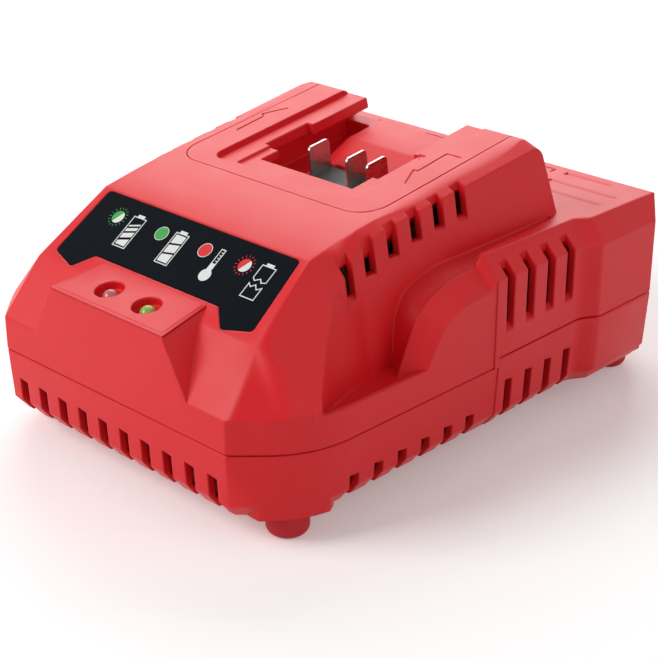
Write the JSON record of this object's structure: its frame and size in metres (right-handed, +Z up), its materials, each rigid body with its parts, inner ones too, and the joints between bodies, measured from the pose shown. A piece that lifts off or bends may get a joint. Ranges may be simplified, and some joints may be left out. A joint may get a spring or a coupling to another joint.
{
  "type": "battery charger",
  "caption": "Bench charger for slide-on tool batteries: flared two-shell case with vent slots, sloping bay with contact blades, indicator pod, symbol label and round feet.",
  "frame": {"origin": "on the table under the middle of the case's length and width", "axes": "+X to the charger's right, +Y to its back where the mains inlet is, +Z up"},
  "size_m": [0.137, 0.184, 0.0846],
  "materials": {
    "shell_red": "moulded, fine spark-eroded grain, satin",
    "cradle_red": "moulded, fine grain, satin",
    "foot_red": "soft moulded elastomer",
    "label_black": "printed polycarbonate film, semi-gloss",
    "lamp_clear_red": "clear tinted epoxy dome",
    "lamp_clear_green": "clear tinted epoxy dome",
    "terminal_grey": "glass-filled, matt",
    "contact_nickel": "nickel-plated",
    "board_tan": "phenolic laminate",
    "lead_red": "insulated wire",
    "lead_white": "insulated wire",
    "lead_black": "insulated wire",
    "screw_steel": "zinc-plated",
    "inlet_black": "moulded, matt",
    "ferrite": "sintered, matt",
    "winding_tape": "polyester tape over copper",
    "bobbin_black": "moulded",
    "capacitor_sleeve": "shrink sleeve over an aluminium can",
    "film_yellow": "moulded box",
    "choke_copper": "enamelled copper wire",
    "fuse_ceramic": "ceramic tube in metal clips",
    "sink_aluminium": "extruded, mill finish",
    "chip_black": "moulded epoxy"
  },
  "bodies": {
    "root": {"upper_housing": "shell_red", "lower_housing": "shell_red", "cradle": "cradle_red", "label_plate": "label_black", "foot_front_left": "foot_red", "foot_front_right": "foot_red", "foot_rear_left": "foot_red", "foot_rear_right": "foot_red", "led_left": "lamp_clear_red", "led_right": "lamp_clear_green", "lamp_board": "board_tan", "terminal_block": "terminal_grey", "terminal_board": "board_tan", "blade_positive": "contact_nickel", "blade_sense": "contact_nickel", "blade_negative": "contact_nickel", "lead_positive": "lead_red", "lead_sense": "lead_white", "lead_negative": "lead_black", "main_board": "board_tan", "board_screws": "screw_steel", "case_screws": "screw_steel", "mains_inlet": "inlet_black", "inlet_pin_left": "contact_nickel", "inlet_pin_right": "contact_nickel", "transformer_core": "ferrite", "transformer_winding": "winding_tape", "transformer_base": "bobbin_black", "bulk_capacitor": "capacitor_sleeve", "filter_capacitor": "film_yellow", "output_capacitor_front": "capacitor_sleeve", "output_capacitor_rear": "capacitor_sleeve", "choke": "choke_copper", "fuse": "fuse_ceramic", "heatsink_input": "sink_aluminium", "heatsink_output": "sink_aluminium", "power_transistor": "chip_black", "output_rectifier": "chip_black"}
  },
  "joints": []
}
